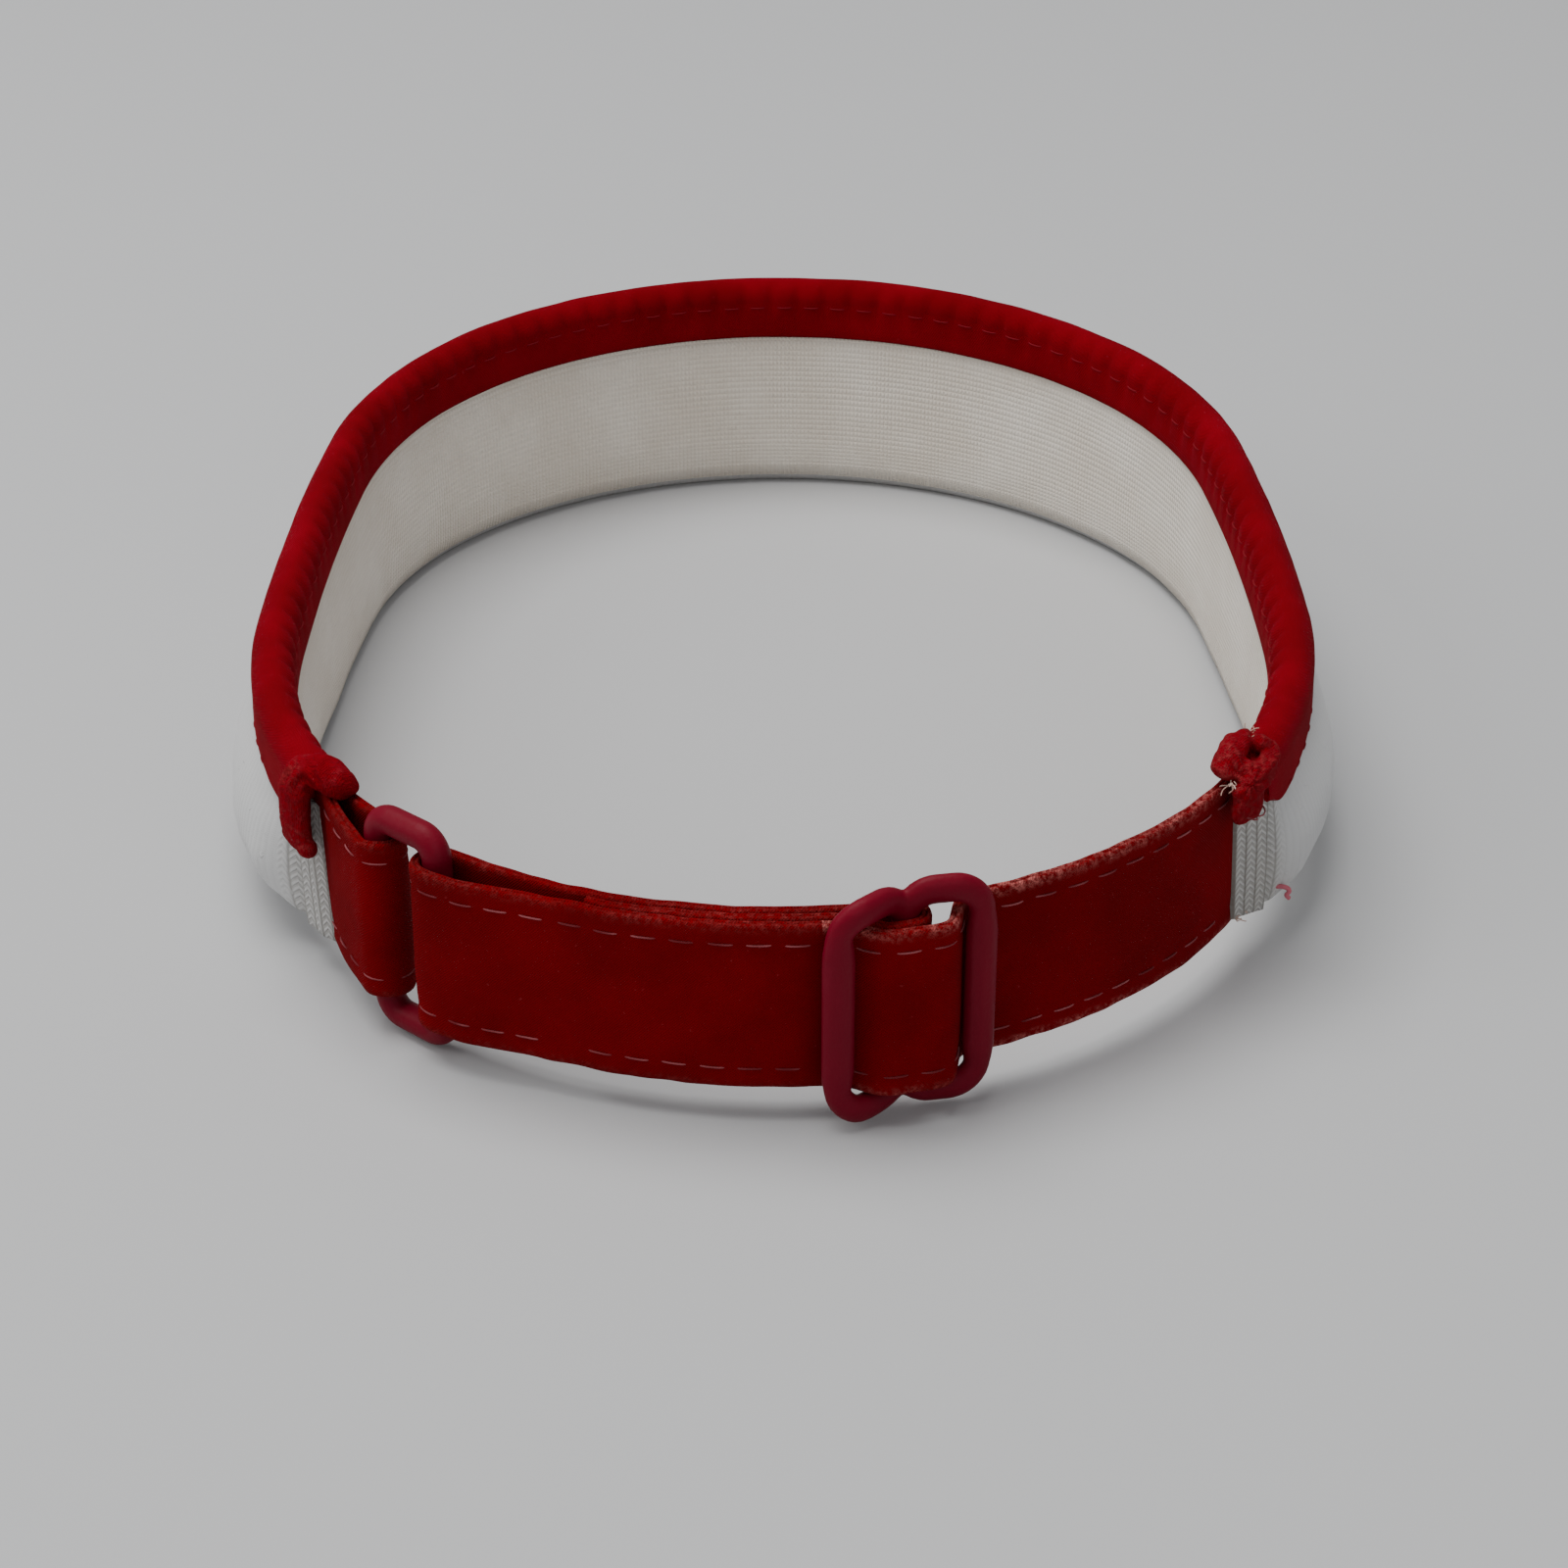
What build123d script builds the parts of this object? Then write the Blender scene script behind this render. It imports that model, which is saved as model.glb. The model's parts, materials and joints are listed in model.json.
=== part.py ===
"""Adjustable cloth headband: a padded band of white rib knit with a rolled red binding, closed at
the nape by a red cotton strap that runs through a plastic slider and round a plastic ring.

The band stands on its lower edge. +Z is up, +Y is the wearer's face and the strap is at -Y.
Angles at the nape are measured about the nape centre from -Y, positive towards +X.
"""

from math import atan, cos, degrees, radians, sin, sqrt, tan
import os

from build123d import *

# ---------------------------------------------------------------- driving sizes, in millimetres
# Strap of folded cotton
strap_width = 25.4  # from its lower to its upper edge
strap_thick = 1.5
strap_radius = 73.0  # middle of the cloth where the strap lies on the nape
strap_lift = 5.0  # lower edge of the strap above the band's resting edge

# Plan of the head opening, as tangent arcs from the nape round to the brow
nape_turn = 68.0  # where the nape arc ends
temple_radius = 90.0
side_radius = 440.0
brow_turn = 97.0  # where the flat side gives way to the brow arc
left_seam = -57.0  # where the ring tab is sewn into the band
right_seam = 58.0  # where the strap is sewn into the band

# Layers of the padded band, from the head outwards
flap_thick = 0.9  # each flap of the red binding
lining_thick = 0.8
cover_thick = 0.8
bulge = 5.6  # how far the foam swells past the flat layers
bulge_height = 8.0
bulge_top = 19.0
foot_inset = 2.2  # the resting face is this much wider than the flat layers
front_rise = 6.0  # the top edge climbs this much from the seams to the brow
flap_drop = 7.5  # outer flap below the middle of the roll
inner_flap_drop = 6.5
curl_size = 5.6  # turned-under end of the binding, lying on the strap's upper edge
curl_deep = 6.6
curl_inset = 0.7
curl_soft = 1.6
fold_wide = 4.6  # turned-under end of the binding's outer flap
fold_tall = 9.6
fold_thick = 2.0
roll_proud = 3.0  # top of the roll above the strap's upper edge, at the seams
cord_gap = 0.2
end_ramp = 70.0  # distance from the seam where the lower edge starts to climb to the strap
flat_end = 6.0  # flat end of the band, from the seam to the crease where the padding begins
tongue = 5.2  # seam allowance of the strap inside the flat end

# Slider and ring, moulded plastic
bar_wide = 4.3  # side bars of the slider
centre_bar = 3.8
slot_wide = 5.4
slider_thick = 3.0
slider_rail = 3.8  # top and bottom rails
lobe_corner = 6.5
lobe_wide = 13.4  # each lobe of the figure eight; the two overlap in the middle
waist_soft = 1.5
slider_angle = 12.2
ring_bar = 4.0  # diameter of the ring's bar
ring_pitch = 11.1  # between the two long bars
ring_corner = 2.8
ring_angle = -40.6

# Strap round the slider
tail_length = 44.0  # sewn end of the strap, from the centre bar back towards the ring
anchor_length = 5.0  # strap beside the right seam that never moves
ring_reach = 18.0  # strap beside the ring that gives when the ring swings
fold_reach = 2.5  # strap beside the ring's bar that swings with it
tab_outer = 74.85  # middle of the tab's outer layer where it enters the band

# Clearances
layer_gap = 0.1  # between cloth layers
binding_gap = 0.3  # between the binding and the layers it covers
slot_play = 0.5  # strap edge to the slider's rail
ring_play = 0.7  # strap edge to the ring's rail
cloth_gap = 0.3  # between layers of the strap, and round the bars
cut_gap = 0.3  # between lengths of the strap that belong to different moving pieces

os.makedirs("parts", exist_ok=True)

# ---------------------------------------------------------------- derived sizes
strap_top = strap_lift + strap_width
lining_in = flap_thick + binding_gap
lining_out = lining_in + lining_thick
pad_in = lining_out + layer_gap
pad_thick = 2 * strap_thick + cloth_gap + layer_gap  # as thick as the two plies sewn in
pad_out = pad_in + pad_thick
cover_in = pad_out + layer_gap
cover_out = cover_in + cover_thick
binding_out = cover_out + binding_gap + flap_thick
head_radius = strap_radius - pad_in - strap_thick / 2

roll_radius = binding_out / 2
cord_radius = roll_radius - flap_thick - cord_gap

strap_step = strap_thick + cloth_gap
strap_middle = strap_lift + strap_width / 2
tail_radius = strap_radius + strap_step
outer_radius = tail_radius + strap_step
slider_width = 2 * (bar_wide + slot_wide) + centre_bar
slider_tall = strap_width + 2 * (slot_play + slider_rail)
side_bar_u = (slider_width - bar_wide) / 2
centre_bar_n = strap_radius + strap_thick / 2 + cloth_gap + slider_thick / 2
bar_loop_n = centre_bar_n + slider_thick / 2 + cloth_gap + strap_thick / 2
threaded_n = bar_loop_n + strap_step
side_bar_n = outer_radius + strap_thick / 2 + cloth_gap + slider_thick / 2
fold_radius = ring_bar / 2 + cloth_gap + strap_thick / 2
ring_radius = strap_radius + fold_radius  # middle of the ring's long bars
ring_n = sqrt(ring_radius**2 - (ring_pitch / 2) ** 2)
ring_spread = degrees(atan(ring_pitch / 2 / ring_n))
left_bar = ring_angle - ring_spread
right_bar = ring_angle + ring_spread
ring_tall = strap_width + 2 * ring_play + ring_bar


def polar(angle, radius):
    """Point at this angle and distance from the nape centre."""
    return Vector(radius * sin(radians(angle)), nape_y - radius * cos(radians(angle)))


def along(angle):
    """Direction along the strap, towards +X."""
    return Vector(cos(radians(angle)), sin(radians(angle)))


def outward(angle):
    """Direction away from the head."""
    return Vector(sin(radians(angle)), -cos(radians(angle)))


def arc_angle(length, radius):
    """Angle in degrees that an arc of this length turns through."""
    return degrees(length / radius)


# Centres of the plan's arcs, for the head line; the nape centre is the start
temple_x = head_radius * sin(radians(nape_turn)) - temple_radius * sin(radians(nape_turn))
temple_y = (temple_radius - head_radius) * cos(radians(nape_turn))
side_x = temple_x + temple_radius - side_radius
brow_x = side_x + side_radius * sin(radians(brow_turn))
brow_radius = brow_x / sin(radians(brow_turn))
brow_y = temple_y + (brow_radius - side_radius) * cos(radians(brow_turn))
band_reach = cover_out + bulge

# The origin is the middle of the object, on the plane it stands on
back_reach = side_bar_n + slider_thick / 2
nape_y = (back_reach - (brow_y + brow_radius + band_reach)) / 2

seam_y = nape_y - head_radius * cos(radians((right_seam - left_seam) / 2))
brow_front = nape_y + brow_y + brow_radius
roll_slope = degrees(atan(front_rise / (brow_front - seam_y)))
roll_height = strap_top + roll_proud - roll_radius
roll_plane = Plane(
    origin=(0, seam_y, roll_height),
    x_dir=(1, 0, 0),
    z_dir=(0, -sin(radians(roll_slope)), cos(radians(roll_slope))),
)
layers_top = Plane(
    origin=roll_plane.origin - roll_plane.z_dir * (cord_radius + cord_gap),
    x_dir=roll_plane.x_dir,
    z_dir=roll_plane.z_dir,
)


def plan_arcs(offset, origin_y=0.0, start=right_seam, end=left_seam):
    """The band's plan at this distance from the head, from the right seam round to the left."""
    y = nape_y - origin_y
    CenterArc((0, y), head_radius + offset, start - 90, nape_turn - start)
    CenterArc((temple_x, y + temple_y), temple_radius + offset, nape_turn - 90, 90 - nape_turn)
    CenterArc((side_x, y + temple_y), side_radius + offset, 0, brow_turn - 90)
    CenterArc((0, y + brow_y), brow_radius + offset, brow_turn - 90, 360 - 2 * brow_turn)
    CenterArc((-side_x, y + temple_y), side_radius + offset, 270 - brow_turn, brow_turn - 90)
    CenterArc((-temple_x, y + temple_y), temple_radius + offset, 180, 90 - nape_turn)
    CenterArc((0, y), head_radius + offset, 270 - nape_turn, nape_turn + end)


def section_plane(start=right_seam):
    """Plane across the start of the head line: X away from the head, Y up."""
    return Plane(
        origin=tuple(polar(start, head_radius)),
        x_dir=tuple(outward(start)),
        z_dir=tuple(-along(start)),
    )


# ---------------------------------------------------------------- padded band
section_top = strap_top + front_rise + roll_proud


def layer_outline(inset):
    """Outer profile of the padded band, moved in by this much and open to the head and the top."""
    with BuildSketch() as outline:
        with BuildLine():
            flat = cover_out - inset
            base = Line((-band_reach, inset), (flat + foot_inset, inset))
            swell = ThreePointArc(base @ 1, (flat + bulge, bulge_height), (flat, bulge_top))
            rise = Line(swell @ 1, (flat, section_top + band_reach))
            back = Line(rise @ 1, (-band_reach, section_top + band_reach))
            Line(back @ 1, base @ 0)
        make_face()
    return outline.sketch_local


def keep_box(d_low, z_low):
    """Keeps what is beyond d_low from the head and above z_low."""
    with Locations((d_low, z_low)):
        Rectangle(
            4 * band_reach, section_top - z_low, align=(Align.MIN, Align.MIN), mode=Mode.INTERSECT
        )


flat_bottom = strap_lift - cloth_gap - cover_thick
wedge_reach = head_radius / 2
crease_right = right_seam + arc_angle(flat_end, head_radius)
crease_left = left_seam - arc_angle(flat_end, head_radius)
pad_start = flat_end + cover_thick + layer_gap
pad_right = right_seam + arc_angle(pad_start, head_radius)
pad_left = left_seam - arc_angle(pad_start, head_radius)


def end_wedges(rise):
    """What is cut away below a layer where the lower edge climbs to the strap at both seams."""
    with BuildPart() as wedges:
        for seam, side in ((right_seam, 1), (left_seam, -1)):
            root = Plane(
                origin=tuple(polar(seam, head_radius)),
                x_dir=tuple(along(seam) * side),
                z_dir=tuple(outward(seam)),
            )
            with BuildSketch(root.offset(-wedge_reach)):
                with BuildLine():
                    Polyline(
                        (-1, rise - 1),
                        (end_ramp, rise - 1),
                        (end_ramp, rise),
                        (flat_end, rise + flat_bottom),
                        (-1, rise + flat_bottom),
                        close=True,
                    )
                make_face()
            extrude(amount=2 * wedge_reach)
    return wedges.part


with BuildPart() as cover_hollow:  # room inside the cover
    with BuildLine():
        plan_arcs(
            0,
            start=right_seam + arc_angle(flat_end + cover_thick, head_radius),
            end=left_seam - arc_angle(flat_end + cover_thick, head_radius),
        )
    with BuildSketch(section_plane(right_seam + arc_angle(flat_end + cover_thick, head_radius))):
        add(layer_outline(cover_thick))
    sweep()
    add(end_wedges(cover_thick), mode=Mode.SUBTRACT)

with BuildPart() as outer_cover:
    with BuildLine():
        plan_arcs(0, start=crease_right, end=crease_left)
    with BuildSketch(section_plane(crease_right)):
        add(layer_outline(0))
        keep_box(lining_in, 0)
    sweep()
    add(end_wedges(0), mode=Mode.SUBTRACT)
    add(cover_hollow.part, mode=Mode.SUBTRACT)
    # Flat ends, folded round the strap's seam allowance
    for start, end in ((right_seam, crease_right), (crease_left, left_seam)):
        with BuildLine():
            CenterArc((0, nape_y), head_radius, start - 90, end - start)
        with BuildSketch(section_plane(start)):
            with Locations((lining_in, flat_bottom)):
                Rectangle(
                    cover_out - lining_in, section_top, align=(Align.MIN, Align.MIN)
                )
            with Locations((lining_out, flat_bottom + cover_thick)):
                Rectangle(
                    cover_in - lining_out,
                    section_top,
                    align=(Align.MIN, Align.MIN),
                    mode=Mode.SUBTRACT,
                )
        sweep()
    split(bisect_by=layers_top, keep=Keep.BOTTOM)
outer_cover.part.label = "outer_cover"

with BuildPart() as foam_padding:
    with BuildLine():
        plan_arcs(0, start=pad_right, end=pad_left)
    with BuildSketch(section_plane(pad_right)):
        add(layer_outline(cover_thick + 2 * layer_gap))
        keep_box(pad_in, 0)
    sweep()
    split(bisect_by=layers_top, keep=Keep.BOTTOM)
    add(end_wedges(cover_thick + 2 * layer_gap), mode=Mode.SUBTRACT)
foam_padding.part.label = "foam_padding"

with BuildPart() as inner_lining:
    with BuildLine():
        plan_arcs(0, start=pad_right, end=pad_left)
    with BuildSketch(section_plane(pad_right)):
        with Locations((lining_in, cover_thick + layer_gap)):
            Rectangle(lining_thick, section_top, align=(Align.MIN, Align.MIN))
    sweep()
    split(bisect_by=layers_top, keep=Keep.BOTTOM)
    add(end_wedges(cover_thick + layer_gap), mode=Mode.SUBTRACT)
inner_lining.part.label = "inner_lining"


# ---------------------------------------------------------------- binding and its cord
def roll_section(start=right_seam):
    """Plane across the start of the roll: its origin is the middle of the roll."""
    flat = polar(start, head_radius + roll_radius)
    forward = along(start)
    out = outward(start)
    local = roll_plane.from_local_coords((flat.X, flat.Y - seam_y, 0))
    forward = roll_plane.x_dir * forward.X + roll_plane.y_dir * forward.Y
    out = roll_plane.x_dir * out.X + roll_plane.y_dir * out.Y
    return Plane(origin=local, x_dir=out, z_dir=-forward)


with BuildPart() as top_binding:
    with BuildLine(roll_plane):
        plan_arcs(roll_radius, origin_y=seam_y)
    with BuildSketch(roll_section()):
        Circle(roll_radius)
        with Locations((0, -inner_flap_drop / 2)):
            Rectangle(2 * roll_radius, inner_flap_drop)
        with Locations((roll_radius / 2, -flap_drop / 2)):
            Rectangle(roll_radius, flap_drop)
        Circle(roll_radius - flap_thick, mode=Mode.SUBTRACT)
        with Locations((0, -section_top / 2)):
            Rectangle(2 * (roll_radius - flap_thick), section_top, mode=Mode.SUBTRACT)
        with Locations((0, -flap_drop - roll_radius)):
            Rectangle(4 * roll_radius, 2 * roll_radius, mode=Mode.SUBTRACT)
    sweep()
top_binding.part.label = "top_binding"

with BuildPart() as binding_cord:  # starts beyond the strap's seam allowance
    with BuildLine(roll_plane):
        plan_arcs(roll_radius, origin_y=seam_y, start=pad_right, end=pad_left)
    with BuildSketch(roll_section(pad_right)):
        Circle(cord_radius)
    sweep()
binding_cord.part.label = "binding_cord"


# ---------------------------------------------------------------- ring and slider
def facing_plane(angle, n):
    """Plane facing away from the head: X along the strap, Y up, origin on the strap's middle."""
    point = polar(angle, n)
    return Plane(
        origin=(point.X, point.Y, strap_middle),
        x_dir=tuple(along(angle)),
        z_dir=tuple(outward(angle)),
    )


def plan_plane(angle, height):
    """Level plane at this height: origin at the nape centre, X along the strap, Y outward."""
    return Plane(
        origin=(0, nape_y, height), x_dir=tuple(along(angle)), z_dir=(0, 0, -1)
    )


with BuildSketch(facing_plane(ring_angle, ring_n)) as ring_outline:
    RectangleRounded(ring_pitch, ring_tall, ring_corner)
ring_line = ring_outline.sketch.face().outer_wire()

with BuildPart() as adjuster_ring:
    with BuildSketch(Plane(origin=ring_line @ 0.4, z_dir=ring_line % 0.4)):
        Circle(ring_bar / 2)
    sweep(path=ring_line)
adjuster_ring.part.label = "adjuster_ring"

with BuildPart() as slider:
    # Plate whose middle is set back towards the head, so the threaded strap lies flush
    with BuildSketch(plan_plane(slider_angle, strap_middle + slider_tall / 2)):
        with BuildLine():
            edge_u = slider_width / 2
            FilletPolyline(
                (-edge_u, side_bar_n),
                (-edge_u + bar_wide, side_bar_n),
                (-centre_bar * 0.8, centre_bar_n),
                (centre_bar * 0.8, centre_bar_n),
                (edge_u - bar_wide, side_bar_n),
                (edge_u, side_bar_n),
                radius=2.0,
            )
        trace(line_width=slider_thick)
    extrude(amount=slider_tall)
    with BuildSketch(plan_plane(slider_angle, strap_middle + strap_width / 2 + slot_play)):
        with Locations((0, side_bar_n)):
            Rectangle(2 * slider_width, 6 * slider_thick)
    extrude(amount=strap_width + 2 * slot_play, mode=Mode.SUBTRACT)
    with BuildSketch(plan_plane(slider_angle, strap_top + slot_play + 1)):
        with Locations((-side_bar_u, side_bar_n), (side_bar_u, side_bar_n)):
            RectangleRounded(bar_wide, slider_thick, slider_thick * 0.45)
        with Locations((0, centre_bar_n)):
            RectangleRounded(centre_bar, slider_thick, slider_thick * 0.48)
    extrude(amount=strap_width + 2 * (slot_play + 1))
    with BuildSketch(facing_plane(slider_angle, centre_bar_n - 2 * slider_thick)):
        with Locations((-(edge_u - lobe_wide / 2), 0), (edge_u - lobe_wide / 2, 0)):
            RectangleRounded(lobe_wide, slider_tall, lobe_corner)
        waist = vertices().filter_by(lambda v: abs(v.X) < 0.01)
        fillet(waist, radius=waist_soft)
    extrude(amount=8 * slider_thick, mode=Mode.INTERSECT)
slider.part.label = "slider"


# ---------------------------------------------------------------- strap
def run_between(start, end, radius):
    """Length of strap lying on the nape arc, drawn as its middle line."""
    CenterArc((0, nape_y), radius, start - 90, end - start)


slider_cut = arc_angle(slider_width / 2 + 3.0, strap_radius)
right_cut = slider_angle + slider_cut
left_cut = slider_angle - slider_cut
anchor_cut = right_seam - arc_angle(anchor_length, strap_radius)
ring_cut = right_bar + arc_angle(ring_reach, strap_radius)
fold_cut = right_bar + arc_angle(fold_reach, strap_radius)
half_cut = arc_angle(cut_gap / 2, strap_radius)

tongue_end = right_seam + arc_angle(tongue - (strap_step + strap_thick) / 2, strap_radius)
with BuildPart() as strap_anchor:  # its sewn end is turned under inside the band
    with BuildSketch(Plane.XY.offset(strap_lift)):
        with BuildLine():
            turn = polar(tongue_end, strap_radius + strap_step / 2)
            run_between(anchor_cut + half_cut, tongue_end, strap_radius)
            CenterArc((turn.X, turn.Y), strap_step / 2, tongue_end - 90, 180)
            run_between(right_seam + 0.5, tongue_end, strap_radius + strap_step)
        trace(line_width=strap_thick)
    extrude(amount=strap_width)
strap_anchor.part.label = "strap_anchor"

with BuildPart() as strap_right_run:
    with BuildSketch(Plane.XY.offset(strap_lift)):
        with BuildLine():
            run_between(right_cut + half_cut, anchor_cut - half_cut, strap_radius)
        trace(line_width=strap_thick)
    extrude(amount=strap_width)
strap_right_run.part.label = "strap_right_run"

with BuildPart() as strap_outer_run:
    with BuildSketch(Plane.XY.offset(strap_lift)):
        with BuildLine():
            run_between(ring_cut + half_cut, left_cut - half_cut, outer_radius)
        trace(line_width=strap_thick)
    extrude(amount=strap_width)
strap_outer_run.part.label = "strap_outer_run"

with BuildPart() as strap_inner_run:
    with BuildSketch(Plane.XY.offset(strap_lift)):
        with BuildLine():
            run_between(ring_cut + half_cut, left_cut - half_cut, strap_radius)
        trace(line_width=strap_thick)
    extrude(amount=strap_width)
strap_inner_run.part.label = "strap_inner_run"

with BuildPart() as strap_inner_ring_end:
    with BuildSketch(Plane.XY.offset(strap_lift)):
        with BuildLine():
            run_between(fold_cut + half_cut, ring_cut - half_cut, strap_radius)
        trace(line_width=strap_thick)
    extrude(amount=strap_width)
strap_inner_ring_end.part.label = "strap_inner_ring_end"

fold_top = ring_radius + fold_radius
with BuildPart() as strap_outer_ring_end:
    with BuildSketch(Plane.XY.offset(strap_lift)):
        with BuildLine():
            Spline(
                polar(fold_cut + half_cut, fold_top),
                polar(ring_cut - half_cut, outer_radius),
                tangents=(along(fold_cut), along(ring_cut)),
            )
        trace(line_width=strap_thick)
    extrude(amount=strap_width)
strap_outer_ring_end.part.label = "strap_outer_ring_end"

with BuildPart() as strap_ring_fold:
    with BuildSketch(Plane.XY.offset(strap_lift)):
        with BuildLine():
            bar = polar(right_bar, ring_radius)
            run_between(right_bar, fold_cut - half_cut, strap_radius)
            CenterArc((bar.X, bar.Y), fold_radius, right_bar + 90, 180)
            run_between(right_bar, fold_cut - half_cut, fold_top)
        trace(line_width=strap_thick)
    extrude(amount=strap_width)
strap_ring_fold.part.label = "strap_ring_fold"

# Strap as it passes the slider, in the slider's own plan: X along the strap, Y outward
bar_end = centre_bar / 2 - slider_thick / 2
loop_radius = (bar_loop_n - strap_radius) / 2
loop_middle = (bar_loop_n + strap_radius) / 2


def slider_frame(point, angle):
    """Point given along and out from the slider's middle, in the object's plan."""
    return Vector(0, nape_y) + along(angle) * point[0] + outward(angle) * point[1]


def on_arc(u, radius):
    """Point of a nape arc at this distance along from the slider's middle."""
    return (u, sqrt(radius**2 - u**2))


def arc_tangent(u, radius, run):
    """Where the arc's tangent at u has travelled this far back towards the slider's middle."""
    point = on_arc(u, radius)
    slope = -u / point[1]
    step = run if u < 0 else -run
    return (u + step, point[1] + slope * step)


land = slider_width / 2  # the strap lies on its arc again from here on
tail_corner = arc_tangent(-land, tail_radius, land - side_bar_u + bar_wide * 0.4)
loop_corner = (-centre_bar * 0.75, bar_loop_n)
climb = atan((loop_corner[1] - tail_corner[1]) / (loop_corner[0] - tail_corner[0]))
lean = strap_step * tan(climb / 2)  # keeps the two layers parallel where they bend
left_corner = arc_tangent(-land, outer_radius, land + tail_corner[0] - lean)
threaded_corner = (loop_corner[0] - lean, threaded_n)
right_corner = arc_tangent(land, strap_radius, land - side_bar_u + bar_wide * 0.55)
with BuildPart() as strap_threaded_loop:
    with BuildSketch(Plane.XY.offset(strap_lift)):
        with BuildLine():
            points = [
                on_arc(-land, outer_radius),
                left_corner,
                threaded_corner,
                (centre_bar * 0.95, threaded_n),
                right_corner,
                on_arc(land, strap_radius),
            ]
            FilletPolyline(*[slider_frame(p, slider_angle) for p in points], radius=2.2)
            start = slider_angle + degrees(atan(-land / points[0][1]))
            end = slider_angle + degrees(atan(land / points[-1][1]))
            run_between(left_cut + half_cut, start, outer_radius)
            run_between(end, right_cut - half_cut, strap_radius)
        trace(line_width=strap_thick)
    extrude(amount=strap_width)
strap_threaded_loop.part.label = "strap_threaded_loop"

tail_end = slider_angle - arc_angle(tail_length, tail_radius)
with BuildPart() as strap_bar_loop:
    with BuildSketch(Plane.XY.offset(strap_lift)):
        with BuildLine():
            points = [
                on_arc(-land, tail_radius),
                tail_corner,
                loop_corner,
                (bar_end, bar_loop_n),
            ]
            FilletPolyline(*[slider_frame(p, slider_angle) for p in points], radius=2.2)
            middle = slider_frame((bar_end, loop_middle), slider_angle)
            CenterArc((middle.X, middle.Y), loop_radius, slider_angle - 90, 180)
            low = slider_frame((bar_end, strap_radius), slider_angle)
            flat = slider_frame((0, strap_radius), slider_angle)
            Line(low, flat)
            run_between(left_cut + half_cut, slider_angle, strap_radius)
            start = slider_angle + degrees(atan(-land / points[0][1]))
            run_between(tail_end, start, tail_radius)
        trace(line_width=strap_thick)
    extrude(amount=strap_width)
strap_bar_loop.part.label = "strap_bar_loop"

# Tab that holds the ring: in at the left seam, out round the ring's left bar and back
tab_plate = arc_angle(tongue, strap_radius)
with BuildPart() as ring_tab:
    with BuildSketch(Plane.XY.offset(strap_lift)):
        with BuildLine():
            bar = polar(left_bar, ring_radius)
            run_between(left_seam - tab_plate, left_bar, strap_radius)
            CenterArc((bar.X, bar.Y), fold_radius, left_bar - 90, 180)
            Spline(
                polar(left_seam + 1, tab_outer),
                polar(left_bar, fold_top),
                tangents=(along(left_seam + 1), along(left_bar)),
            )
            run_between(left_seam - tab_plate, left_seam + 1, tab_outer)
        trace(line_width=strap_thick)
    extrude(amount=strap_width)
ring_tab.part.label = "ring_tab"

# ---------------------------------------------------------------- turned-under binding ends
def end_plane(seam, side):
    """Plane across the turned-under end: X along the strap, Y up, facing away from the head."""
    place = seam - side * arc_angle(curl_size / 2 + cloth_gap, strap_radius)
    point = polar(place, head_radius + curl_inset)
    return Plane(
        origin=(point.X, point.Y, strap_top + cloth_gap + curl_size / 2),
        x_dir=tuple(along(place)),
        z_dir=tuple(outward(place)),
    )


with BuildPart() as binding_end_left:
    with BuildSketch(end_plane(left_seam, -1)):
        Circle(curl_size / 2)
    extrude(amount=curl_deep)
    fillet(edges(), radius=curl_soft)
binding_end_left.part.label = "binding_end_left"

with BuildPart() as binding_end_right:
    with BuildSketch(end_plane(right_seam, 1)):
        RectangleRounded(curl_size, curl_size, curl_size * 0.35)
    extrude(amount=curl_deep)
    fillet(edges().group_by(Axis.Z)[0] + edges().group_by(Axis.Z)[-1], radius=curl_soft / 2)
binding_end_right.part.label = "binding_end_right"



def fold_plane(seam, side):
    """Plane on the binding's outer face beside the seam, facing away from the head."""
    place = seam + side * arc_angle(fold_wide / 2, strap_radius)
    point = polar(place, head_radius + binding_out + layer_gap)
    return Plane(
        origin=(point.X, point.Y, roll_height - flap_drop - layer_gap + fold_tall / 2),
        x_dir=tuple(along(place)),
        z_dir=tuple(outward(place)),
    )


with BuildPart() as binding_fold_left:
    with BuildSketch(fold_plane(left_seam, -1)):
        RectangleRounded(fold_wide, fold_tall, fold_wide * 0.3)
    extrude(amount=fold_thick)
    fillet(faces().sort_by(Axis.Y)[0].edges(), radius=fold_thick * 0.4)
binding_fold_left.part.label = "binding_fold_left"

with BuildPart() as binding_fold_right:
    with BuildSketch(fold_plane(right_seam, 1)):
        RectangleRounded(fold_wide, fold_tall, fold_wide * 0.3)
    extrude(amount=fold_thick)
    fillet(faces().sort_by(Axis.Y)[0].edges(), radius=fold_thick * 0.4)
binding_fold_right.part.label = "binding_fold_right"

pieces = (
    outer_cover,
    foam_padding,
    inner_lining,
    top_binding,
    binding_cord,
    binding_end_left,
    binding_end_right,
    binding_fold_left,
    binding_fold_right,
    adjuster_ring,
    slider,
    ring_tab,
    strap_anchor,
    strap_right_run,
    strap_threaded_loop,
    strap_bar_loop,
    strap_outer_run,
    strap_inner_run,
    strap_outer_ring_end,
    strap_inner_ring_end,
    strap_ring_fold,
)
for piece in pieces:
    export_step(piece.part, f"parts/{piece.part.label}.step")
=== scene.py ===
import bpy, bmesh, json
from math import atan2, cos, hypot, pi, radians, sin
from mathutils import Matrix, Vector, noise


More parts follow.
